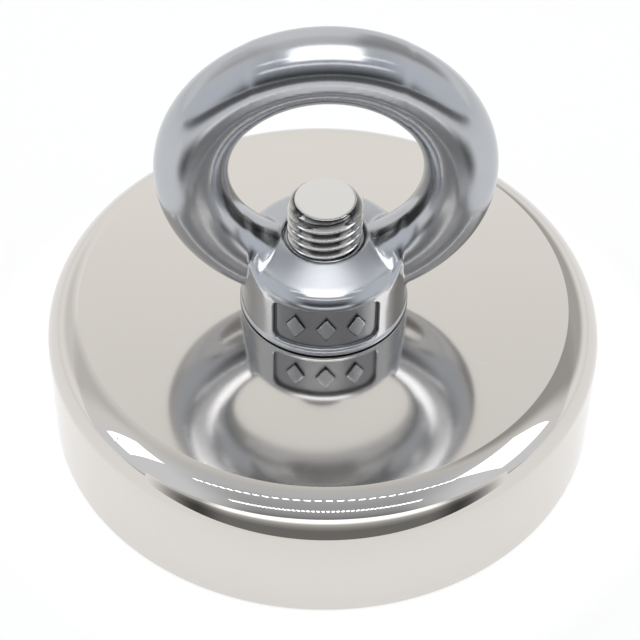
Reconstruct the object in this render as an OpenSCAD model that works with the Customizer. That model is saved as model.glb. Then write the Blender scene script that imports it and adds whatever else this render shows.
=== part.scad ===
// Magnet fishing magnet: a nickel-plated steel cup that holds a ring magnet,
// a countersunk screw through the cup, and an eye nut on the screw's free end.
// Millimetres. The magnet face lies on z = 0, the screw runs up along +Z, and
// the eye's hole faces -Y and +Y.

/* [Cup] */
// Outside diameter of the cup
cup_d = 75; // [72:1:80]
// Height of the cup, from its open rim to its flat top
cup_h = 20; // [19:0.5:24]
// Radius of the rounded shoulder between the side and the flat top
cup_shoulder_r = 5.5; // [3:0.5:6]
// How much the grinding of the flat top took off the rounding, which leaves a crisp edge
cup_ground_off = 0.1; // [0.05:0.05:0.2]
// Thickness of the cup's side wall
cup_wall = 4.5; // [4:0.25:5]
// Thickness of the cup's top plate
cup_plate = 8; // [8:0.5:9]
// Chamfer on the outside edge of the open rim
cup_rim_chamfer = 0.5; // [0.3:0.1:0.8]

/* [Magnet] */
// Width of the gap between the magnet and the cup's wall
side_gap = 2.5; // [2:0.25:3]
// Radius of the magnet's bore
magnet_bore_r = 12; // [12:0.25:13]
// Depth of the magnet's face below the cup's rim
face_recess = 0.3; // [0.2:0.1:0.5]
// Thickness of the adhesive between the magnet and the top plate
bond_t = 0.2; // [0.1:0.05:0.3]
// Depth of the sealing resin, from the magnet's face into the side gap
seal_depth = 3.7; // [3:0.1:5]
// Wall of the sleeve that lines the magnet's bore
sleeve_wall = 1.5; // [1:0.1:1.5]

/* [Screw] */
// Outside diameter of the screw's thread (M10)
thread_d = 9.86; // [9.7:0.02:9.96]
// Length of the screw over its head
screw_len = 25; // [25:1:27]
// Height of the screw's end above the cup's flat top
stud_h = 18; // [17.5:0.25:18.5]
// Diameter of the countersunk head
head_d = 20; // [19:0.25:20]
// Straight edge of the head, before the cone begins
head_land = 0.5; // [0.3:0.1:0.8]
// Chamfer at the screw's free end
stud_chamfer = 1; // [0.6:0.1:1.2]
// Hex socket, across its flats
socket_af = 6; // [5:1:6]
// Depth of the hex socket
socket_depth = 4; // [3:0.5:4.5]

/* [Eye nut] */
// Radius of the ring's centreline
ring_r = 17.2; // [16.8:0.1:18]
// Thickness of the ring, measured outwards from its centre
ring_w = 9.5; // [9:0.1:10]
// Thickness of the ring from front to back
ring_t = 8.6; // [8:0.1:9]
// Height of the ring's centre above the cup's flat top
ring_z = 23; // [22.8:0.1:24]
// Diameter of the round base
base_d = 22.1; // [21.5:0.1:23]
// Height of the base beside the screw
base_h = 12; // [11.5:0.1:12.2]
// Slope of the base's conical shoulder, in degrees
base_slope = 22; // [18:1:26]
// Rounding between the base's side and its conical shoulder
base_corner_r = 1.2; // [0.8:0.1:1.5]

/* [Grade panel] */
// Width of the recessed panel as an angle round the base
panel_angle = 78; // [60:1:80]
// Height of the panel's lower edge above the base's foot
panel_low = 1.2; // [1:0.1:1.5]
// Height of the panel
panel_h = 6.9; // [6:0.1:7]
// Depth of the panel
panel_depth = 0.5; // [0.3:0.1:0.6]
// Height of each raised mark
mark_h = 4; // [3:0.1:4.5]
// Width of each raised mark
mark_w = 2.6; // [2:0.1:3]

/* [Hidden] */
$fn = 96;
eps = 0.01;
// Radial running clearance of the screw in the cup and in the eye nut.
running = 0.07;

cup_r = cup_d / 2;
cavity_r = cup_r - cup_wall;
cavity_top = cup_h - cup_plate;
magnet_r = cavity_r - side_gap;
magnet_top = cavity_top - bond_t;
magnet_chamfer = 0.5;
sleeve_r = magnet_bore_r - sleeve_wall;

thread_r = thread_d / 2;
bore_r = thread_r + running;
stud_top = cup_h + stud_h;
head_z = stud_top - screw_len;
head_r = head_d / 2;
// The 90 degree cone of the head narrows by as much as it rises.
cone_h = head_r - thread_r;

eye_z = cup_h + ring_z;
ring_section_r = ring_t / 2;
ring_spread = (ring_w - ring_t) / 2;
base_r = base_d / 2;
base_foot_chamfer = 0.4;
base_top_r = 5.8;
bore_chamfer = 0.5;
corner_x = base_r - base_corner_r;
slope_x = corner_x + base_corner_r * sin(base_slope);
corner_z = base_h - base_corner_r * cos(base_slope) - (slope_x - base_top_r) * tan(base_slope);

panel_r = base_r - panel_depth;
mark_pitch = 22;
mark_stands = 0.35;

// A plain ring between two radii, from z0 up to z1.
module tube(r_in, r_out, z0, z1) {
    translate([0, 0, z0])
    difference() {
        cylinder(r = r_out, h = z1 - z0);
        translate([0, 0, -1]) cylinder(r = r_in, h = z1 - z0 + 2);
    }
}

// Outline of the cup from its axis outwards, with the rounded shoulder.
module cup_outline() {
    shoulder_z = cup_h - cup_shoulder_r + cup_ground_off;
    square([cup_r - cup_shoulder_r, cup_h]);
    translate([0, cup_rim_chamfer]) square([cup_r, shoulder_z - cup_rim_chamfer]);
    polygon([[0, 0], [cup_r - cup_rim_chamfer, 0], [cup_r, cup_rim_chamfer], [0, cup_rim_chamfer]]);
    intersection() {
        translate([cup_r - cup_shoulder_r, shoulder_z]) circle(r = cup_shoulder_r);
        translate([0, shoulder_z]) square([cup_r, cup_h - shoulder_z]);
    }
}

// Turned steel cup: deep magnet seat below, countersunk screw hole in the plate.
module steel_cup() {
    color("gainsboro")
    difference() {
        rotate_extrude() cup_outline();
        translate([0, 0, -1]) cylinder(r = cavity_r, h = cavity_top + 1);
        cylinder(r = bore_r, h = cup_h + 1);
        cylinder(r = head_r + running, h = head_z + head_land);
        translate([0, 0, head_z + head_land])
        cylinder(r1 = head_r + running, r2 = bore_r, h = cone_h);
    }
}

// Sintered ring magnet with chamfered edges on its working face.
module ring_magnet() {
    face = face_recess;
    color("silver")
    rotate_extrude()
    polygon([
        [magnet_bore_r, face + magnet_chamfer], [magnet_bore_r + magnet_chamfer, face],
        [magnet_r - magnet_chamfer, face], [magnet_r, face + magnet_chamfer],
        [magnet_r, magnet_top], [magnet_bore_r, magnet_top]
    ]);
}

// Film of adhesive that holds the magnet to the plate.
module magnet_bond() {
    color("darkkhaki") tube(magnet_bore_r, magnet_r, magnet_top, cavity_top);
}

// Plastic ring that centres the magnet in the cup.
module spacer_ring() {
    color("dimgray") tube(magnet_r, cavity_r, face_recess + seal_depth, cavity_top);
}

// Resin poured over the spacer ring, down to the level of the magnet's face.
module rim_seal() {
    color("black") tube(magnet_r, cavity_r, face_recess, face_recess + seal_depth);
}

// Plastic sleeve between the magnet's bore and the way in to the screw's head.
module bore_sleeve() {
    color("dimgray") tube(sleeve_r, magnet_bore_r, face_recess, cavity_top);
}

// Countersunk screw with a hex socket; its threaded end stands out of the cup.
module countersunk_screw() {
    shank_z = head_z + head_land + cone_h;
    color("lightgray")
    difference() {
        union() {
            translate([0, 0, head_z]) cylinder(r = head_r, h = head_land);
            translate([0, 0, head_z + head_land]) cylinder(r1 = head_r, r2 = thread_r, h = cone_h);
            translate([0, 0, shank_z - eps])
            cylinder(r = thread_r, h = stud_top - stud_chamfer - shank_z + eps);
            translate([0, 0, stud_top - stud_chamfer])
            cylinder(r1 = thread_r, r2 = thread_r - stud_chamfer, h = stud_chamfer);
        }
        translate([0, 0, head_z - 1])
        cylinder(r = socket_af / 2 / cos(30), h = socket_depth + 1, $fn = 6);
    }
}

// Ring of the eye: a round bar, a little wider than it is thick.
module eye_ring() {
    translate([0, 0, eye_z])
    rotate([90, 0, 0])
    rotate_extrude()
    translate([ring_r, 0]) {
        for (side = [-1, 1]) translate([side * ring_spread, 0]) circle(r = ring_section_r);
        square([2 * ring_spread, ring_t], center = true);
    }
}

// Round base of the eye nut, with its foot chamfer and conical shoulder.
module eye_base() {
    translate([0, 0, cup_h])
    rotate_extrude() {
        polygon([
            [0, 0], [base_r - base_foot_chamfer, 0], [base_r, base_foot_chamfer],
            [base_r, corner_z], [corner_x, corner_z],
            [slope_x, corner_z + base_corner_r * cos(base_slope)],
            [base_top_r, base_h], [0, base_h]
        ]);
        translate([corner_x, corner_z]) circle(r = base_corner_r);
    }
}

// Sunk panel on the front of the base.
module panel_cut() {
    translate([0, 0, cup_h + panel_low])
    rotate([0, 0, -90 - panel_angle / 2])
    rotate_extrude(angle = panel_angle)
    translate([panel_r, 0]) square([panel_depth + 1, panel_h]);
}

// Three plain lozenges raised from the panel's floor.
module panel_marks() {
    for (i = [-1:1])
        translate([0, 0, cup_h + panel_low + panel_h / 2])
        rotate([0, 0, -90 + i * mark_pitch])
        rotate([0, 90, 0])
        linear_extrude(height = panel_r + mark_stands)
        polygon([[-mark_h / 2, 0], [0, -mark_w / 2], [mark_h / 2, 0], [0, mark_w / 2]]);
}

// Cast eye nut; its bore is a plain cylinder where the thread would be.
module eye_nut() {
    color("lightslategray")
    difference() {
        union() {
            eye_ring();
            difference() {
                eye_base();
                panel_cut();
            }
            panel_marks();
        }
        translate([0, 0, cup_h - 1]) cylinder(r = bore_r, h = base_h + 2);
        translate([0, 0, cup_h - eps])
        cylinder(r1 = bore_r + bore_chamfer, r2 = bore_r, h = bore_chamfer);
        translate([0, 0, cup_h + base_h - bore_chamfer])
        cylinder(r1 = bore_r, r2 = bore_r + 2 * bore_chamfer, h = 2 * bore_chamfer);
    }
}

steel_cup();
ring_magnet();
magnet_bond();
spacer_ring();
rim_seal();
bore_sleeve();
countersunk_screw();
eye_nut();
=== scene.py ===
import itertools
import math

import bmesh
import bpy
import numpy as np
from mathutils import Matrix, Vector


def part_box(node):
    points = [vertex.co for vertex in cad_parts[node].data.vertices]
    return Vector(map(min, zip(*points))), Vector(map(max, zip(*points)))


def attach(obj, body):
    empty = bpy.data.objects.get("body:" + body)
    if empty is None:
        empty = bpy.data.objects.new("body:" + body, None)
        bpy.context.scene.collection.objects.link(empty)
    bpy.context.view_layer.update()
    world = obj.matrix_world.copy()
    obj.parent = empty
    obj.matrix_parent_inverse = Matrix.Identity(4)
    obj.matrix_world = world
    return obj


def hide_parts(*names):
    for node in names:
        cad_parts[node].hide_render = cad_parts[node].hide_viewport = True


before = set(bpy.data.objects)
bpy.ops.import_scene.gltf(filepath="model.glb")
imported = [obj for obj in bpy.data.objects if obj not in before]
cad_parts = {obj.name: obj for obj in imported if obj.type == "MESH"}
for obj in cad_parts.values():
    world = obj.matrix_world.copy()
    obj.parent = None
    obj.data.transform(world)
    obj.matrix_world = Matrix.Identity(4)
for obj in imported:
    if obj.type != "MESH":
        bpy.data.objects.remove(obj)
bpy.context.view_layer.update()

mm = 0.001


# Steel cup
# A turned and pressed cup of mild steel, ground and buffed to a mirror, then plated with bright nickel.
# Its flat top runs into the side through a rounded shoulder; the magnet's seat is bored from below.


class Wire:
    """One output of a node tree. Arithmetic on it adds Math nodes to that tree."""

    def __init__(self, tree, socket=None):
        self.tree = tree
        self.socket = socket

    def node(self, kind, settings=None, sockets=None, output=0):
        """Adds a node, sets it up, then fills its sockets with values or links."""
        made = self.tree.nodes.new(kind)
        settings = dict(settings or {})
        stops = settings.pop("stops", None)
        for name, value in settings.items():
            setattr(made, name, value)
        if stops:
            ramp = made.color_ramp
            while len(ramp.elements) < len(stops):
                ramp.elements.new(1.0)
            for element, (place, grey) in zip(ramp.elements, stops):
                element.position = place
                element.color = (grey, grey, grey, 1.0)
        for name, value in (sockets or {}).items():
            if isinstance(value, Wire):
                self.tree.links.new(value.socket, made.inputs[name])
            else:
                made.inputs[name].default_value = value
        return Wire(self.tree, made.outputs[output])

    def math(self, operation, *values):
        return self.node("ShaderNodeMath", {"operation": operation}, dict(enumerate(values)))

    def __add__(self, other):
        return self.math("ADD", self, other)

    def __sub__(self, other):
        return self.math("SUBTRACT", self, other)

    def __mul__(self, other):
        return self.math("MULTIPLY", self, other)

    def __truediv__(self, other):
        return self.math("DIVIDE", self, other)

    def __rsub__(self, other):
        return self.math("SUBTRACT", other, self)

    def __rtruediv__(self, other):
        return self.math("DIVIDE", other, self)

    __radd__ = __add__
    __rmul__ = __mul__


def material(name):
    """A new material: its Principled shader node and a Wire to build the rest of the tree with."""
    made = bpy.data.materials.new(name)
    made.use_nodes = True
    shader = made.node_tree.nodes["Principled BSDF"]
    return made, shader, Wire(made.node_tree)


def feed(shader, **sockets):
    """Sets constants on the shader's own sockets and links Wires to them; _ stands for a space."""
    for name, value in sockets.items():
        socket = shader.inputs[name.replace("_", " ")]
        if isinstance(value, Wire):
            value.tree.links.new(value.socket, socket)
        else:
            socket.default_value = value


def where_on_piece(wires):
    """The point being shaded, on the piece's own coordinates."""
    return wires.node("ShaderNodeTexCoord", output=3)


def split(wires, place):
    """The X, Y and Z of a vector, each as a Wire."""
    parts = wires.node("ShaderNodeSeparateXYZ", {}, {"Vector": place}).socket.node
    return [Wire(wires.tree, parts.outputs[axis]) for axis in "XYZ"]


def distance(wires, x, y):
    return wires.math("SQRT", x * x + y * y)


def noise(wires, place, scale, detail=2.0, roughness=0.5):
    sockets = {"Vector": place, "Scale": scale, "Detail": detail, "Roughness": roughness}
    return wires.node("ShaderNodeTexNoise", {}, sockets)


def ramped(wires, value, start, end, curve="LINEAR"):
    """A value that runs from 0 at start to 1 at end, and stays level past either."""
    sockets = {"Value": value, "From Min": start, "From Max": end}
    return wires.node("ShaderNodeMapRange", {"interpolation_type": curve}, sockets)


def between(wires, mask, low, high):
    """A value that runs from low to high as mask runs from 0 to 1."""
    return wires.node("ShaderNodeMapRange", {}, {"Value": mask, "To Min": low, "To Max": high})


def blended(wires, mask, first, second):
    """The second colour over the first, by mask; the first may be a Wire."""
    under = first if isinstance(first, Wire) else (*first, 1.0)
    sockets = {0: mask, 6: under, 7: (*second, 1.0)}
    return wires.node("ShaderNodeMix", {"data_type": "RGBA"}, sockets, output=2)


def relief(wires, height, depth, below=None):
    """A Bump node for heights from 0 to 1 that stand depth metres."""
    sockets = {"Height": height, "Distance": depth, "Strength": 1.0}
    if below is not None:
        sockets["Normal"] = below
    return wires.node("ShaderNodeBump", {}, sockets)


def rounded(corners, steps=8):
    """Points of a closed outline whose corners are (radius, height, rounding)."""
    points = []
    for before, corner, after in zip(corners[-1:] + corners[:-1], corners, corners[1:] + corners[:1]):
        here = Vector(corner[:2])
        back = (Vector(before[:2]) - here).normalized()
        on = (Vector(after[:2]) - here).normalized()
        rounding = corner[2]
        if not rounding:
            points.append(here)
            continue
        half = back.angle(on) / 2
        reach = rounding / math.tan(half)
        centre = here + (back + on).normalized() * rounding / math.sin(half)
        first = here + back * reach - centre
        last = here + on * reach - centre
        # A point just before and after the arc keeps the flats beside it flat.
        just_past = rounding * 0.06
        points.append(centre + first + back * just_past)
        points += [centre + first.slerp(last, i / steps).normalized() * rounding for i in range(steps + 1)]
        points.append(centre + last + on * just_past)
    return points


def new_tree(name, inputs):
    """An empty Geometry Nodes tree with these named inputs after its geometry."""
    tree = bpy.data.node_groups.new(name, "GeometryNodeTree")
    tree.interface.new_socket("Geometry", in_out="INPUT", socket_type="NodeSocketGeometry")
    for label, kind in inputs.items():
        tree.interface.new_socket(label, in_out="INPUT", socket_type=kind)
    tree.interface.new_socket("Geometry", in_out="OUTPUT", socket_type="NodeSocketGeometry")
    source = tree.nodes.new("NodeGroupInput")
    return tree, {socket.name: Wire(tree, socket) for socket in source.outputs if socket.name}


def end_tree(tree, geometry, finish):
    """Realize Instances, Set Material and the tree's output."""
    realized = geometry.node("GeometryNodeRealizeInstances", {}, {"Geometry": geometry})
    painted = realized.node("GeometryNodeSetMaterial", {}, {"Geometry": realized, "Material": finish})
    tree.links.new(painted.socket, tree.nodes.new("NodeGroupOutput").inputs["Geometry"])


def turning_tree():
    """Turns an outline, drawn as an open mesh in the XZ plane, once round the Z axis."""
    inputs = {"Segments": "NodeSocketInt", "Finish": "NodeSocketMaterial"}
    tree, given = new_tree("Turned on a lathe", inputs)
    wires = Wire(tree)
    outline = given["Geometry"]
    count = wires.node("GeometryNodeAttributeDomainSize", {"component": "MESH"}, {"Geometry": outline})
    rows = count + 1
    grid = wires.node(
        "GeometryNodeMeshGrid", {}, {"Vertices X": given["Segments"] + 1, "Vertices Y": rows}
    )
    index = wires.node("GeometryNodeInputIndex")
    column = wires.math("FLOOR", (index + 0.5) / rows)
    row = wires.math("FLOORED_MODULO", index - column * rows + 0.5, count)
    position = wires.node("GeometryNodeInputPosition")
    sampled = wires.node(
        "GeometryNodeSampleIndex",
        {"data_type": "FLOAT_VECTOR"},
        {"Geometry": outline, "Value": position, "Index": wires.math("FLOOR", row)},
    )
    radius, _, height = split(wires, sampled)
    angle = column * math.tau / given["Segments"]
    place = wires.node(
        "ShaderNodeCombineXYZ",
        {},
        {"X": radius * wires.math("COSINE", angle), "Y": radius * wires.math("SINE", angle), "Z": height},
    )
    moved = wires.node("GeometryNodeSetPosition", {}, {"Geometry": grid, "Position": place})
    closed = wires.node("GeometryNodeMergeByDistance", {}, {"Geometry": moved, "Distance": 1e-7})
    smooth = wires.node("GeometryNodeSetShadeSmooth", {}, {"Geometry": closed})
    end_tree(tree, smooth, given["Finish"])
    return tree


def worked(piece, tree, **sizes):
    """Runs a Geometry Nodes tree on a piece once and keeps the result as its plain mesh."""
    step = piece.modifiers.new(tree.name, "NODES")
    step.node_group = tree
    for socket in tree.interface.items_tree:
        label = socket.name.replace(" ", "_").lower()
        if socket.in_out == "INPUT" and label in sizes:
            step[socket.identifier] = sizes[label]
    evaluated = piece.evaluated_get(bpy.context.evaluated_depsgraph_get())
    mesh = bpy.data.meshes.new_from_object(evaluated)
    piece.modifiers.remove(step)
    piece.data = mesh
    return piece


def new_object(name, mesh):
    made = bpy.data.objects.new(name, mesh)
    bpy.context.scene.collection.objects.link(made)
    return made


turning = turning_tree()


def turned(name, outline, finish, segments=192):
    """A solid turned from a closed outline of (radius, height) points, with its faces outwards."""
    mesh = bpy.data.meshes.new(name)
    mesh.from_pydata([(point[0], 0.0, point[1]) for point in outline], [], [])
    piece = worked(new_object(name, mesh), turning, segments=segments, finish=finish)
    outwards(piece.data)
    return piece


def outwards(mesh):
    """Merges doubles, then turns every face of a closed mesh outwards."""
    work = bmesh.new()
    work.from_mesh(mesh)
    bmesh.ops.remove_doubles(work, verts=work.verts, dist=1e-7)
    bmesh.ops.recalc_face_normals(work, faces=work.faces)
    work.to_mesh(mesh)
    work.free()


def bright_nickel(name, tint, gloss, ripple, shaded_roots=None, ground=None):
    """Buffed nickel plate: faint ripples from the buffing wheel, a haze of wiping marks and a few pits.

    Where the radius lies between the two that shaded_roots gives, painted shade darkens the plate towards the
    inner one, down in the thread's roots.
    Within the radius that ground gives, the plate lies on a ground face, so it is a little less sharp.
    """
    made, shader, wires = material(name)
    place = where_on_piece(wires)
    x, y, _ = split(wires, place)
    radius = distance(wires, x, y)
    haze = noise(wires, place, 55.0, 4.0, 0.6)
    fine = noise(wires, place, 900.0, 3.0, 0.6)
    swell = noise(wires, place, 70.0, 1.0)
    cells = wires.node("ShaderNodeTexVoronoi", {}, {"Vector": place, "Scale": 260.0})
    spared = ramped(wires, noise(wires, place, 40.0), 0.52, 0.58)
    pitted = wires.math("MINIMUM", ramped(wires, cells, 0.05, 0.11) + (1 - spared), 1.0)
    tone = blended(wires, haze, [v * 0.97 for v in tint], tint)
    smoothness = between(wires, haze * 0.7 + fine * 0.3, gloss * 0.6, gloss * 1.5)
    if ground:
        smoothness = smoothness + wires.math("LESS_THAN", radius, ground) * between(wires, haze, 0.045, 0.085)
    # Painted shade in the thread's roots: the colour darkens towards the root radius.
    if shaded_roots:
        root, shade_end = shaded_roots
        on_thread = wires.math("GREATER_THAN", radius, root - 0.05 * mm)
        tone = blended(wires, ramped(wires, radius, shade_end, root) * on_thread, tone, (0.03, 0.028, 0.025))
    feed(
        shader,
        Base_Color=tone,
        Metallic=1.0,
        Roughness=smoothness,
        Normal=relief(wires, fine, 0.0000004, relief(wires, pitted, 0.00001, relief(wires, swell, ripple))),
    )
    return made


cup_low, cup_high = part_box("steel_cup")
seat_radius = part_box("rim_seal")[1].x
seat_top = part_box("spacer_ring")[1].z
head_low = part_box("countersunk_screw")[0].z
running = 0.07 * mm
head_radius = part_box("countersunk_screw")[1].x + running
head_land = 0.5 * mm
thread_radius = 4.93 * mm
hole_radius = thread_radius + running
shoulder = 5.5 * mm
ground_off = 0.1 * mm
cone_low = head_low + head_land

# The rounding is pressed and the flat top is ground afterwards, which leaves a crisp edge between them.
shoulder_start = math.acos(1 - ground_off / shoulder)
shoulder_arc = [
    (
        cup_high.x - shoulder * (1 - math.sin(tilt)),
        cup_high.z + ground_off - shoulder * (1 - math.cos(tilt)),
        0.3 * mm if tilt == shoulder_start else 0.0,
    )
    for tilt in np.linspace(shoulder_start, math.pi / 2, 40)
]
flat_radius = shoulder_arc[0][0]
cup_finish = bright_nickel("buffed nickel plate", (0.69, 0.66, 0.622), 0.022, 0.00001, ground=flat_radius)
cup = turned(
    "nickel_cup",
    rounded(
        [(hole_radius, cup_high.z, 0.15 * mm)]
        + shoulder_arc
        + [
            (cup_high.x, cup_low.z, 0.45 * mm),
            (seat_radius, cup_low.z, 0.25 * mm),
            (seat_radius, seat_top, 0.4 * mm),
            (head_radius, seat_top, 0.1 * mm),
            (head_radius, cone_low, 0.1 * mm),
            (hole_radius, cone_low + head_radius - hole_radius, 0.2 * mm),
        ],
        steps=8,
    ),
    cup_finish,
    segments=256,
)
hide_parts("steel_cup")
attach(cup, "cup")


# Ring magnet
# One sintered ring of neodymium iron boron, ground flat, its edges broken, plated with nickel.
# It sits on the cup's plate with its bore round the screw's head.

magnet_low, magnet_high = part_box("ring_magnet")
sleeve_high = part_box("bore_sleeve")[1]
magnet_bore = sleeve_high.x
magnet_edge = 0.5 * mm


def ground_nickel():
    """Nickel over a ground face: even grain, darker rubbed rings and a scatter of scuffs."""
    made, shader, wires = material("ground nickel plate")
    place = where_on_piece(wires)
    x, y, _ = split(wires, place)
    ring_waves = distance(wires, x, y) * 9000.0 + noise(wires, place, 120.0) * 14.0
    rings = wires.math("SINE", ring_waves) * 0.5 + 0.5
    grain = noise(wires, place, 2600.0, 4.0, 0.65)
    scuffs = ramped(wires, noise(wires, place, 95.0, 6.0, 0.72), 0.5, 0.68)
    feed(
        shader,
        Base_Color=blended(wires, scuffs, (0.60, 0.59, 0.57), (0.44, 0.43, 0.42)),
        Metallic=1.0,
        Roughness=between(wires, grain * 0.6 + scuffs * 0.4, 0.2, 0.46),
        Normal=relief(wires, grain, 0.000002, relief(wires, rings, 0.0000008)),
    )
    return made


magnet = turned(
    "sintered_magnet",
    rounded(
        [
            (magnet_bore, magnet_high.z, 0.0),
            (magnet_high.x, magnet_high.z, 0.0),
            (magnet_high.x, magnet_low.z, magnet_edge),
            (magnet_bore, magnet_low.z, magnet_edge),
        ]
    ),
    ground_nickel(),
)
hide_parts("ring_magnet")
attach(magnet, "cup")


# Magnet bond
# A film of cured epoxy between the magnet and the plate, squeezed thin when the magnet is drawn in.
# The solid is only a flat ring, so it keeps its shape and gets the resin's own look.


def epoxy(name, pale, deep, gloss):
    """Cured resin: cloudy colour, small bubbles just under a glossy skin."""
    made, shader, wires = material(name)
    place = where_on_piece(wires)
    cloud = noise(wires, place, 240.0, 5.0, 0.6)
    cells = wires.node("ShaderNodeTexVoronoi", {}, {"Vector": place, "Scale": 900.0})
    bubbles = ramped(wires, cells, 0.1, 0.22)
    feed(
        shader,
        Base_Color=blended(wires, cloud, deep, pale),
        Roughness=between(wires, cloud, gloss, gloss + 0.2),
        Normal=relief(wires, bubbles, 0.00001, relief(wires, cloud, 0.00003)),
    )
    return made


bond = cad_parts["magnet_bond"]
bond.data.materials.clear()
bond.data.materials.append(epoxy("bond epoxy", (0.56, 0.47, 0.27), (0.44, 0.35, 0.17), 0.25))


# Spacer ring
# An injection-moulded ring of black nylon that keeps the magnet in the middle of the cup.
# It is pressed into the gap round the magnet, and its edges are slightly rounded by the mould.

spacer_low, spacer_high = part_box("spacer_ring")


def moulded_nylon():
    """Black moulded plastic: spark-eroded grain, a slight bloom and rubbed patches."""
    made, shader, wires = material("black moulded nylon")
    place = where_on_piece(wires)
    grain = noise(wires, place, 3200.0, 3.0, 0.6)
    bloom = noise(wires, place, 130.0, 4.0, 0.6)
    feed(
        shader,
        Base_Color=blended(wires, bloom, (0.018, 0.018, 0.019), (0.042, 0.042, 0.045)),
        Roughness=between(wires, grain, 0.38, 0.62),
        Normal=relief(wires, grain, 0.00002),
    )
    return made


nylon = moulded_nylon()
spacer = turned(
    "spacer_moulding",
    rounded(
        [
            (magnet_high.x, spacer_low.z, 0.3 * mm),
            (spacer_high.x, spacer_low.z, 0.3 * mm),
            (spacer_high.x, spacer_high.z, 0.3 * mm),
            (magnet_high.x, spacer_high.z, 0.3 * mm),
        ],
        steps=4,
    ),
    nylon,
)
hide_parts("spacer_ring")
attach(spacer, "cup")


# Rim seal
# Black potting resin poured into the gap round the magnet, over the spacer ring.
# It creeps up both walls as it cures, so its face is a shallow trough.

seal_low, seal_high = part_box("rim_seal")
trough = 0.35 * mm
seal_middle = (magnet_high.x + seal_high.x) / 2
seal_half = (seal_high.x - magnet_high.x) / 2
trough_points = [
    (seal_middle + seal_half * t, seal_low.z + trough * (1 - t * t)) for t in np.linspace(1, -1, 15)
]
seal = turned(
    "potting_resin",
    trough_points + [(magnet_high.x, seal_high.z), (seal_high.x, seal_high.z)],
    epoxy("black potting resin", (0.022, 0.022, 0.024), (0.012, 0.012, 0.013), 0.16),
)
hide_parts("rim_seal")
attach(seal, "cup")


# Bore sleeve
# A short moulded tube that lines the magnet's bore, so that grit and the hex key don't chip the magnet.
# A small chamfer at its mouth leads the key in.

sleeve_low, sleeve_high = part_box("bore_sleeve")
sleeve_wall = 1.5 * mm
sleeve = turned(
    "bore_liner",
    rounded(
        [
            (sleeve_high.x - sleeve_wall, sleeve_low.z, 0.5 * mm),
            (sleeve_high.x, sleeve_low.z, 0.15 * mm),
            (sleeve_high.x, sleeve_high.z, 0.15 * mm),
            (sleeve_high.x - sleeve_wall, sleeve_high.z, 0.15 * mm),
        ],
        steps=6,
    ),
    nylon,
)
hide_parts("bore_sleeve")
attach(sleeve, "cup")


# Countersunk screw
# A bright-plated M10 screw, cold headed with a hex socket, its thread rolled along the whole shank.
# It hangs by its head in the cup's plate, and its flat, chamfered end stands up through the eye nut.

screw_low, screw_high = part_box("countersunk_screw")
pitch = 1.5 * mm
thread_depth = 0.86 * mm
end_chamfer = 1.0 * mm
socket_half = 6.0 * mm / 2
socket_top = screw_low.z + 4.0 * mm


def rolling_tree():
    """Sinks a right-handed helical thread into what lies at one radius round the Z axis."""
    tree, given = new_tree(
        "Rolled thread",
        {
            "Crest radius": "NodeSocketFloat",
            "Depth": "NodeSocketFloat",
            "Pitch": "NodeSocketFloat",
            "Low end": "NodeSocketFloat",
            "High end": "NodeSocketFloat",
            "Finish": "NodeSocketMaterial",
        },
    )
    wires = Wire(tree)
    position = wires.node("GeometryNodeInputPosition")
    x, y, z = split(wires, position)
    radius = distance(wires, x, y)
    turn = wires.math("FRACT", z / given["Pitch"] - wires.math("ARCTAN2", y, x) / math.tau)
    from_crest = wires.math("ABSOLUTE", turn - 0.5) * 2
    # The crest is a narrow flat, and the root a wider one.
    groove = ramped(wires, from_crest, 0.06, 0.88, "SMOOTHSTEP")
    runs_in = ramped(wires, z, given["Low end"], given["Low end"] + given["Pitch"])
    cut = given["Crest radius"] - given["Depth"] * groove * runs_in
    share = wires.math("MINIMUM", cut, radius) / radius
    place = wires.node("ShaderNodeCombineXYZ", {}, {"X": x * share, "Y": y * share, "Z": z})
    reached = wires.math("LESS_THAN", radius, given["Crest radius"] + 0.0001)
    above = wires.math("GREATER_THAN", z, given["Low end"])
    below = wires.math("LESS_THAN", z, given["High end"])
    moved = wires.node(
        "GeometryNodeSetPosition",
        {},
        {"Geometry": given["Geometry"], "Selection": reached * above * below, "Position": place},
    )
    end_tree(tree, moved, given["Finish"])
    return tree


def socket_radius(angle):
    """Radius of the hex socket's wall in that direction."""
    across = (angle + math.pi / 6) % (math.pi / 3) - math.pi / 6
    return socket_half / math.cos(across)


rolling = rolling_tree()
shank_low = screw_low.z + head_land + screw_high.x - thread_radius
shank_steps = 480
shank = [
    (thread_radius, z) for z in np.linspace(shank_low, screw_high.z - end_chamfer - 0.02 * mm, shank_steps)
]
screw_outline = (
    [(0.0, socket_top), (socket_half - 0.05 * mm, socket_top)]
    + [(socket_half, socket_top - 0.05 * mm), (socket_half, screw_low.z + 0.15 * mm)]
    + [(socket_half + 0.15 * mm, screw_low.z), (socket_half + 0.9 * mm, screw_low.z)]
    + [tuple(p) for p in rounded(
        [
            (0.0, screw_low.z, 0.0),
            (screw_high.x, screw_low.z, 0.15 * mm),
            (screw_high.x, screw_low.z + head_land, 0.1 * mm),
            (thread_radius, shank_low, 0.0),
        ],
        steps=5,
    )[1:-1]]
    + shank
    + [
        (thread_radius - end_chamfer * t, screw_high.z - end_chamfer * (1 - t))
        for t in np.linspace(0.0, 0.94, 12)
    ]
    + [(thread_radius - end_chamfer * share, screw_high.z) for share in (1.06, 1.3)]
    + [(0.0, screw_high.z)]
)
# The screw's finish gets painted shade in its thread roots.
screw_finish = bright_nickel(
    "plated screw steel",
    (0.70, 0.69, 0.67),
    0.07,
    0.000004,
    shaded_roots=(thread_radius - thread_depth, thread_radius - 0.15 * mm),
)
screw = turned("threaded_screw", screw_outline, screw_finish, segments=144)
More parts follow.
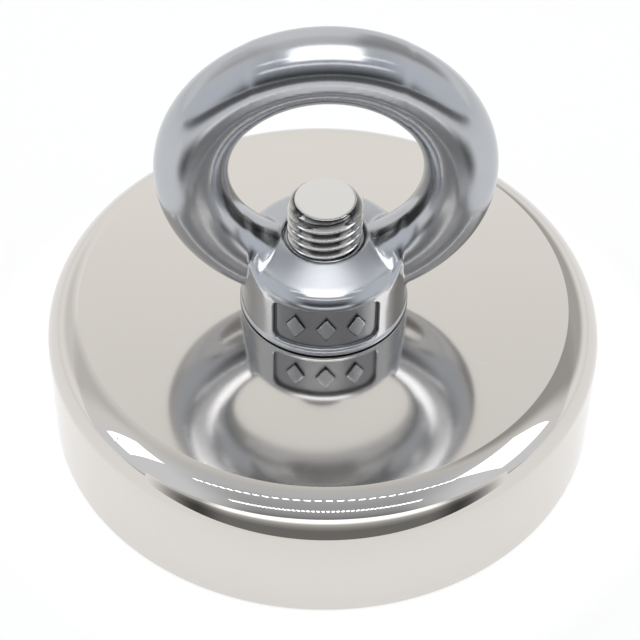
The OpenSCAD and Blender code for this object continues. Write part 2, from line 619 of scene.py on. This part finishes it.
for vertex in screw.data.vertices:
    out = math.hypot(vertex.co.x, vertex.co.y)
    if 0 < out < socket_half + 0.2 * mm and vertex.co.z < socket_top + 0.01 * mm:
        stretch = socket_radius(math.atan2(vertex.co.y, vertex.co.x)) / socket_half
        vertex.co.x *= stretch
        vertex.co.y *= stretch
worked(
    screw,
    rolling,
    crest_radius=thread_radius,
    depth=thread_depth,
    pitch=pitch,
    low_end=shank_low + 0.3 * mm,
    high_end=screw_high.z,
    finish=screw_finish,
)
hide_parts("countersunk_screw")
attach(screw, "screw")


# Eye nut
# Investment-cast stainless steel: a round bar bent into a ring that runs down into a round base.
# The casting is tumbled and polished, its base and conical shoulder are then turned in a lathe, and a
# panel with three raised lozenges is left as cast in the front of the base.

nut_low, nut_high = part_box("eye_nut")
foot = nut_low.z
ring_outer = nut_high.x
ring_centre = nut_high.z - ring_outer
ring_width = 9.5 * mm
ring_thickness = 8.6 * mm
ring_radius = ring_outer - ring_width / 2
ring_spread = (ring_width - ring_thickness) / 2
base_radius = nut_high.y
base_top = foot + 12.0 * mm
base_slope = math.radians(22)
base_top_radius = 5.8 * mm
panel_depth = 0.5 * mm
panel_half_width = math.radians(39) * base_radius
panel_low, panel_high = foot + 1.2 * mm, foot + 8.1 * mm
panel_corner = 1.1 * mm
mark_high, mark_wide = 4.0 * mm, 2.6 * mm
mark_stands = 0.35 * mm
mark_gap = math.radians(22) * base_radius
flank_height, flank_spread = 4.4 * mm, 4.4 * mm
lip_radius = 0.45 * mm


def hard_max(*fields):
    return np.maximum.reduce(fields)


def soft_max(first, second, blend):
    """The larger of two fields, rounded where they cross."""
    share = np.clip(0.5 + 0.5 * (first - second) / blend, 0, 1)
    return second * (1 - share) + first * share + blend * share * (1 - share)


def soft_min(first, second, blend):
    return -soft_max(-first, -second, blend)


def ring_field(x, y, z):
    out = np.hypot(x, z - ring_centre) - ring_radius
    return np.hypot(np.maximum(np.abs(out) - ring_spread, 0), y) - ring_thickness / 2


def base_field(x, y, z):
    out = np.hypot(x, y)
    slope = (out - base_top_radius) * math.sin(base_slope) + (z - base_top) * math.cos(base_slope)
    body = soft_max(out - base_radius, slope, 2.0 * mm)
    lip = np.hypot(out - base_radius + 0.2 * mm, z - foot - lip_radius) - lip_radius
    ends = hard_max(foot - z, z - base_top)
    return soft_max(soft_min(body, lip, 0.12 * mm), ends, 0.12 * mm)


def panel_edge(x, y, z):
    """Distance from the sunk panel's outline, measured over the base's side; negative inside."""
    round_way = np.abs(np.arctan2(x, -y) * base_radius) - panel_half_width + panel_corner
    up = np.abs(z - (panel_low + panel_high) / 2) - (panel_high - panel_low) / 2 + panel_corner
    outside = np.hypot(np.maximum(round_way, 0), np.maximum(up, 0)) - panel_corner
    return outside + np.minimum(np.maximum(round_way, up), 0)


def panel_field(x, y, z):
    """Negative inside the sunk panel, which has rounded corners."""
    return soft_max(panel_edge(x, y, z), base_radius - panel_depth - np.hypot(x, y), 0.12 * mm)


def mark_edge(x, y, z, middle):
    """Distance from a lozenge's outline, measured over the base's side; negative inside."""
    across = np.abs(np.arctan2(x, -y) * base_radius - middle)
    up = np.abs(z - (panel_low + panel_high) / 2)
    past = across * mark_high + up * mark_wide - mark_high * mark_wide / 2
    return past / math.hypot(mark_high, mark_wide)


def mark_field(x, y, z, middle):
    """Negative inside one raised lozenge."""
    out = np.hypot(x, y)
    floor_radius = base_radius - panel_depth
    face = out - floor_radius - mark_stands
    return hard_max(soft_max(mark_edge(x, y, z, middle), face, 0.15 * mm), floor_radius - mm - out)


def flank_field(x, y, z):
    """Negative inside the thicker cast flanks that lead the ring's legs down into the base."""
    down = np.clip((base_top + 0.8 * mm - z) / flank_height, 0, 1)
    ring = ring_field(x, np.maximum(np.abs(y) - flank_spread * down**2, 0), z)
    return soft_max(ring, np.hypot(x, y) - base_radius + 0.1 * mm, 1.6 * mm)


def bore_field(x, y, z):
    out = np.hypot(x, y) - hole_radius - 0.1 * mm
    top = (out - (z - base_top + 0.5 * mm)) * math.sqrt(0.5)
    bottom = (out - (foot + 0.5 * mm - z)) * math.sqrt(0.5)
    return hard_max(np.minimum.reduce([out, top, bottom]), z - base_top - 3 * mm)


def nut_field(points):
    """Negative inside the finished eye nut, positive outside."""
    x, y, z = points[..., 0], points[..., 1], points[..., 2]
    cast = soft_min(ring_field(x, y, z), flank_field(x, y, z), 0.3 * mm)
    body = soft_min(base_field(x, y, z), cast, 0.25 * mm)
    body = soft_max(body, -panel_field(x, y, z), 0.12 * mm)
    for i in (-1, 0, 1):
        body = soft_min(body, mark_field(x, y, z, i * mark_gap), 0.12 * mm)
    return soft_max(body, -bore_field(x, y, z), 0.15 * mm)


def slope_of(field, points):
    """The field's gradient by central differences."""
    step = 0.01 * mm
    sides = [(field(points + step * axis) - field(points - step * axis)) / (2 * step) for axis in np.eye(3)]
    return np.stack(sides, -1)


def onto(field, points, tries=5):
    """Moves points onto the surface where the field is zero."""
    for _ in range(tries):
        slope = slope_of(field, points)
        points = points - slope * (field(points) / np.maximum((slope**2).sum(-1), 0.05))[..., None]
    return points


def skin(field, low, high, step):
    """Vertices and quads of the surface where the field is zero, found on a grid of cells."""
    axes = [np.arange(a - 2 * step, b + 3 * step, step) for a, b in zip(low, high)]
    grid = np.stack(np.meshgrid(*axes, indexing="ij"), -1)
    inside = np.stack([field(sheet) < 0 for sheet in grid])
    cells = [slice(0, -1), slice(1, None)]
    corners = itertools.product((0, 1), repeat=3)
    full = sum(inside[cells[i], cells[j], cells[k]].astype(int) for i, j, k in corners)
    crossed = (full > 0) & (full < 8)
    number = np.full(crossed.shape, -1)
    number[crossed] = np.arange(crossed.sum())
    points = grid[:-1, :-1, :-1][crossed] + step / 2
    quads = []
    for axis in range(3):
        near, far = (np.moveaxis(inside, axis, 0)[cell][:, 1:-1, 1:-1] for cell in cells)
        around = np.moveaxis(number, axis, 0)
        ring = np.stack(
            [around[:, cells[i], cells[j]] for i, j in ((0, 0), (1, 0), (1, 1), (0, 1))], -1
        )
        # Moving the second axis to the front turns the other two round, so that way is wound backwards.
        forward, backward = (near & ~far, far & ~near) if axis != 1 else (far & ~near, near & ~far)
        quads += [ring[forward], ring[backward][:, ::-1]]
    return points, np.concatenate(quads)


def evened(field, points, quads, rounds=4):
    """Slides vertices towards the middle of their neighbours, along the surface."""
    edges = np.concatenate([quads[:, [i, (i + 1) % 4]] for i in range(4)])
    count = np.bincount(edges.ravel(), minlength=len(points))[:, None]
    for _ in range(rounds):
        total = np.zeros_like(points)
        np.add.at(total, edges[:, 0], points[edges[:, 1]])
        np.add.at(total, edges[:, 1], points[edges[:, 0]])
        points = onto(field, points * 0.4 + total / count * 0.6, 2)
    return onto(field, points)


def refine(mesh, wanted):
    """Splits the faces near the vertices that wanted() picks."""
    work = bmesh.new()
    work.from_mesh(mesh)
    places = np.array([vertex.co for vertex in work.verts])
    chosen = wanted(places)
    work.verts.ensure_lookup_table()
    edges = [e for e in work.edges if chosen[e.verts[0].index] and chosen[e.verts[1].index]]
    bmesh.ops.subdivide_edges(work, edges=edges, cuts=1, use_grid_fill=True)
    work.to_mesh(mesh)
    work.free()


margin = 0.6 * mm
panel_back = 10 * mm


def near_panel(points):
    x, y, z = points.T
    front = (y < 0) & (np.abs(np.arctan2(x, -y)) * base_radius < panel_half_width + margin)
    level = (z > panel_low - margin) & (z < panel_high + margin)
    return front & level & (np.hypot(x, y) > panel_back)


def near_foot(points):
    out = np.hypot(points[:, 0], points[:, 1])
    return (points[:, 2] < foot + 2 * margin) & (out > base_radius - margin)


grid_step = 0.41 * mm
nut_points, nut_quads = skin(nut_field, nut_low, nut_high, grid_step)
nut_mesh = bpy.data.meshes.new("cast_eye_nut")
nut_mesh.from_pydata(evened(nut_field, onto(nut_field, nut_points, 3), nut_quads), [], nut_quads.tolist())
for where in (near_foot, near_foot, near_panel, near_panel):
    refine(nut_mesh, where)
nut_points = np.array([vertex.co for vertex in nut_mesh.vertices])
nut_points = onto(nut_field, nut_points)
nut_mesh.vertices.foreach_set("co", nut_points.ravel())
nut_mesh.shade_smooth()
nut_slopes = slope_of(nut_field, nut_points)
nut_mesh.normals_split_custom_set_from_vertices(
    nut_slopes / np.linalg.norm(nut_slopes, axis=1, keepdims=True)
)
nut = new_object("cast_eye_nut", nut_mesh)


def paint(mesh, name, values):
    """Stores one number for each vertex under a name that a material can read."""
    layer = mesh.attributes.new(name, "FLOAT", "POINT")
    layer.data.foreach_set("value", np.asarray(values, np.float32))


# The cone above the base is lathe-turned where it is clear of the ring and its flanks.
nut_x, nut_y, nut_z = nut_points.T
upward = nut_slopes[:, 2] / np.linalg.norm(nut_slopes, axis=1)
clear_of_flanks = np.minimum(ring_field(nut_x, nut_y, nut_z), flank_field(nut_x, nut_y, nut_z)) / (0.3 * mm)
paint(nut_mesh, "turned", np.clip(clear_of_flanks, 0, 1) * np.clip((upward - 0.8) / 0.1, 0, 1))

# The panel's floor is dull as cast and painted dark, partly its cast skin and partly painted shade of the
# recess; painted shade darkens it along the foot of its walls; the lozenges' faces are rubbed.
sunk = panel_field(nut_x, nut_y, nut_z)
raised = np.hypot(nut_x, nut_y) > base_radius - panel_depth + mark_stands - 0.06 * mm
in_panel = np.clip(-sunk / (0.1 * mm) + 0.5, 0, 1)
paint(nut_mesh, "sunk", in_panel * ~raised)
to_wall = np.minimum.reduce(
    [-panel_edge(nut_x, nut_y, nut_z)]
    + [np.abs(mark_edge(nut_x, nut_y, nut_z, i * mark_gap)) for i in (-1, 0, 1)]
)
# Painted shade along the foot of the panel's walls and round the lozenges.
paint(nut_mesh, "crevice_shade", np.clip(1.15 - np.abs(to_wall) / (0.3 * mm), 0, 1) * in_panel * ~raised)


def cast_stainless():
    """Tumbled casting with a soft grain; turned faces are satin, and the panel is dull as cast with its
    colour painted dark, partly its cast skin and partly painted shade; painted shade darkens the panel's
    corners and the joint under the foot.
    """
    made, shader, wires = material("cast stainless steel")
    place = where_on_piece(wires)
    x, y, z = split(wires, place)
    lathe, panel, crevice_shade = (
        wires.node("ShaderNodeAttribute", {"attribute_name": painted}, output=2)
        for painted in ("turned", "sunk", "crevice_shade")
    )
    grain = noise(wires, place, 1500.0, 4.0, 0.6)
    dimples = noise(wires, place, 330.0, 2.0)
    haze = noise(wires, place, 90.0, 4.0, 0.6)
    tool = wires.math("SINE", (distance(wires, x, y) + z) * 32000.0) * 0.5 + 0.5
    polished = blended(wires, haze, (0.45, 0.463, 0.485), (0.52, 0.532, 0.554))
    # Painted shade darkens the panel's corners and the joint under the foot nearly to black.
    foot_joint_shade = ramped(wires, z, foot + 0.24 * mm, foot + 0.16 * mm)
    painted_shade = wires.math("MAXIMUM", foot_joint_shade, crevice_shade)
    # The panel's floor is painted dark, partly for its dull cast skin and partly as painted shade of the
    # recess.
    tone = blended(wires, panel, polished, (0.085, 0.085, 0.092))
    tone = blended(wires, painted_shade, tone, (0.012, 0.012, 0.013))
    smoothness = between(wires, grain * 0.5 + haze * 0.5, 0.12, 0.22)
    skin_relief = relief(wires, grain, 0.0000012, relief(wires, dimples, 0.000006))
    tool_relief = relief(wires, tool * lathe, 0.0000008, skin_relief)
    feed(
        shader,
        Base_Color=tone,
        Metallic=1.0,
        Roughness=smoothness + lathe * 0.2 + panel * 0.25,
        Normal=relief(wires, grain * panel, 0.00006, tool_relief),
    )
    return made


nut_finish = cast_stainless()
nut_mesh.materials.append(nut_finish)
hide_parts("eye_nut")
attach(nut, "eye")

# The thread cut in the eye nut's bore, which follows the screw's own thread at the running clearance.
tapped_low, tapped_high = foot + 0.6 * mm, base_top - 0.6 * mm
tapped_back = hole_radius + 0.25 * mm
tapped = turned(
    "eye_nut_thread",
    [(tapped_back, tapped_low), (tapped_back, tapped_high)]
    + [(hole_radius, z) for z in np.linspace(tapped_high, tapped_low, 200)],
    nut_finish,
    segments=96,
)
worked(
    tapped,
    rolling,
    crest_radius=hole_radius,
    depth=thread_depth - 0.1 * mm,
    pitch=pitch,
    low_end=foot,
    high_end=base_top,
    finish=nut_finish,
)
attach(tapped, "eye")


# Studio
# A white tent with lit sides that is open to a dark room in front, a broad lamp overhead, one at each side,
# rows of small lamps that the cup's shoulder mirrors as dots, a lamp for the eye nut alone, and a pale floor.


def lamp(name, place, aim, size, radiance):
    """A soft rectangular lamp that faces aim; radiance is its brightness as seen in a mirror."""
    data = bpy.data.lights.new(name, "AREA")
    data.shape = "RECTANGLE"
    data.size, data.size_y = size
    data.energy = radiance * math.pi * size[0] * size[1]
    made = new_object(name, data)
    made.location = place
    made.rotation_euler = (Vector(aim) - Vector(place)).to_track_quat("-Z", "Y").to_euler()
    return made


def lights_only(lamps, name, pieces):
    """Keeps the light of these lamps to these pieces."""
    receivers = bpy.data.collections.new(name)
    for piece in pieces:
        receivers.objects.link(piece)
    for each in lamps:
        each.light_linking.receiver_collection = receivers


def eased(wires, value, start, end):
    return ramped(wires, value, start, end, "SMOOTHSTEP")


def tent():
    """The tent as a world: even behind, dimmer overhead, lit at the sides and dark ahead."""
    world = bpy.data.worlds.new("tent")
    bpy.context.scene.world = world
    world.use_nodes = True
    wires = Wire(world.node_tree)
    aside, back, up = split(wires, wires.node("ShaderNodeTexCoord"))
    # From the horizon behind, over the top, to the horizon in front, as degrees and brightness.
    course = [
        (0, 0.86), (38, 0.92), (43, 0.92), (46, 0.84), (51, 0.76), (66, 0.72), (86, 0.60), (104, 0.58),
        (112, 0.48), (128, 0.42), (144, 0.40), (152, 0.34), (161, 0.22), (168, 0.09), (174, 0.04),
        (180, 0.04),
    ]
    stops = [(degrees / 180, grey) for degrees, grey in course]
    height = wires.math("ARCTAN2", up, back) / math.pi
    over = wires.node("ShaderNodeValToRGB", {"stops": stops}, {"Fac": height}) * 1.12
    sides = eased(wires, wires.math("ABSOLUTE", aside), 0.35, 0.75)
    over = over + sides * wires.math("MAXIMUM", 0.85 - over, 0.0)
    behind = eased(wires, back, 0.1, 0.35) * eased(wires, up, 0.15, 0.4)
    right = eased(wires, aside, 0.2, 0.33) * behind
    left = eased(wires, aside, -0.35, -0.6) * behind
    shade = over * (1 - right * 0.5) * (1 - left * 0.22)
    # Warm white behind, cool daylight from the front.
    tint = blended(wires, eased(wires, back, 0.25, -0.2), (1.0, 0.997, 0.99), (0.95, 0.985, 1.05))
    feed(world.node_tree.nodes["Background"], Strength=shade, Color=tint)


def card(name, corners, radiance, columns=1, share=1.0):
    """A flat card that only mirrors see: a row of lit cells, each filling a share of its place."""
    first, along, up = (Vector(corner) for corner in corners)
    along, up = along - first, up - first
    low, high = 0.5 - share / 2, 0.5 + share / 2
    points, faces = [], []
    for i in range(columns):
        faces.append([len(points) + k for k in range(4)])
        for u, v in ((low, low), (high, low), (high, high), (low, high)):
            points.append(first + along * (i + u) / columns + up * v)
    mesh = bpy.data.meshes.new(name)
    mesh.from_pydata(points, [], faces)
    made = new_object(name, mesh)
    finish, shader, _ = material(name)
    feed(
        shader,
        Base_Color=(0.0, 0.0, 0.0, 1.0),
        Roughness=1.0,
        Specular_IOR_Level=0.0,
        Emission_Color=(1.0, 1.0, 1.0, 1.0),
        Emission_Strength=radiance,
    )
    mesh.materials.append(finish)
    made.visible_camera = made.visible_diffuse = made.visible_shadow = made.visible_transmission = False
    return shader


def table_edge():
    """The dark edge of a white-topped table close in front, which bands the cup's shoulder."""
    near, half, top = -0.0525, 0.076, 0.0234
    shader = card("front edge", [(-half, near, 0.0003), (half, near, 0.0003), (-half, near, top)], 1.0)
    wires = Wire(shader.id_data)
    x, _, z = split(wires, where_on_piece(wires))
    out = wires.math("ABSOLUTE", x)
    stops = [(0.0, 0.1), (0.53, 0.1), (0.67, 0.17), (0.79, 0.3), (0.865, 0.85), (1.0, 0.85)]
    profile = wires.node("ShaderNodeValToRGB", {"stops": stops}, {"Fac": z / top})
    middle = 1 - eased(wires, out, 0.024, 0.036) * 0.65
    ends = eased(wires, out, 0.036, 0.075)
    lit = profile * middle * 2.0 * (1 - ends) + ends
    feed(shader, Emission_Color=wires.node("ShaderNodeCombineXYZ", {}, {"X": lit, "Y": lit, "Z": lit}))


tent()
cup_top = Vector((0.0, 0.0, cup_high.z))
overhead = lamp("overhead lamp", (0.0, -0.05, 0.7), cup_top, (0.6, 0.6), 2.2)
overhead.visible_glossy = False
right_lamp = lamp("right lamp", (0.55, -0.12, 0.42), cup_top, (0.30, 0.40), 1.6)
left_lamp = lamp("left lamp", (-0.55, -0.10, 0.36), cup_top, (0.14, 0.34), 1.5)
card("near lamp row", [(-0.38, -0.215, 0.52), (0.38, -0.215, 0.52), (-0.38, -0.250, 0.52)], 5.0, 30, 0.6)
card("far lamp row", [(-0.42, -0.53, 0.49), (0.42, -0.53, 0.49), (-0.42, -0.61, 0.47)], 4.0, 44, 0.6)

# The lamp over the eye lights the eye nut alone, so that the cup's top keeps its even tone; the side lamps
# are kept off the eye nut, whose legs stand in the shade.
eye_lamp = lamp("eye lamp", (0.0, -0.153, 0.53), (0.0, 0.0, ring_centre), (0.36, 0.42), 2.2)
lights_only([eye_lamp], "eye pieces", [nut, tapped])
others = [
    piece
    for piece in bpy.context.scene.collection.all_objects
    if piece.type == "MESH" and piece not in (nut, tapped)
]
lights_only([right_lamp, left_lamp], "other pieces", others)
table_edge()
card("dark room", [(-0.6, -0.15, 0.0008), (0.6, -0.15, 0.0008), (-0.6, -3.0, 0.0008)], 0.12)

floor_mesh = bpy.data.meshes.new("floor")
floor_mesh.from_pydata([(-3, -3, 0), (3, -3, 0), (3, 3, 0), (-3, 3, 0)], [], [(0, 1, 2, 3)])
floor = new_object("floor", floor_mesh)
floor_finish, floor_shader, wires = material("pale floor")
floor_x, floor_y, _ = split(wires, where_on_piece(wires))
# Painted light: the floor glows brighter in a ring round the cup's foot, which lifts the shadow there.
painted_light_near_cup = ramped(wires, distance(wires, floor_x, floor_y), 0.052, 0.037)
feed(
    floor_shader,
    Base_Color=(0.42, 0.42, 0.42, 1.0),
    Roughness=0.9,
    Specular_IOR_Level=0.0,
    Emission_Color=blended(wires, painted_light_near_cup, (0.68, 0.68, 0.68), (0.86, 0.86, 0.86)),
    Emission_Strength=0.8,
)
floor_mesh.materials.append(floor_finish)

# The camera looks down on the front of the eye from close by, turned a little to one side.
distance_off, elevation = 0.2802, math.radians(45.98)
turn_aside, tilt = math.radians(2.3), math.radians(1.09)
level = math.cos(elevation)
away = Vector((-math.sin(turn_aside) * level, -math.cos(turn_aside) * level, math.sin(elevation)))
lens = bpy.data.cameras.new("camera")
lens.sensor_width = 36.0
lens.lens = 116.6
lens.shift_x, lens.shift_y = -0.0058, -0.038
camera = new_object("camera", lens)
camera.rotation_mode = "QUATERNION"
camera.location = cup_top + away * distance_off
camera.rotation_quaternion = (-away).to_track_quat("-Z", "Y") @ Matrix.Rotation(tilt, 3, "Z").to_quaternion()
bpy.context.scene.camera = camera
bpy.context.scene.view_settings.view_transform = "Standard"
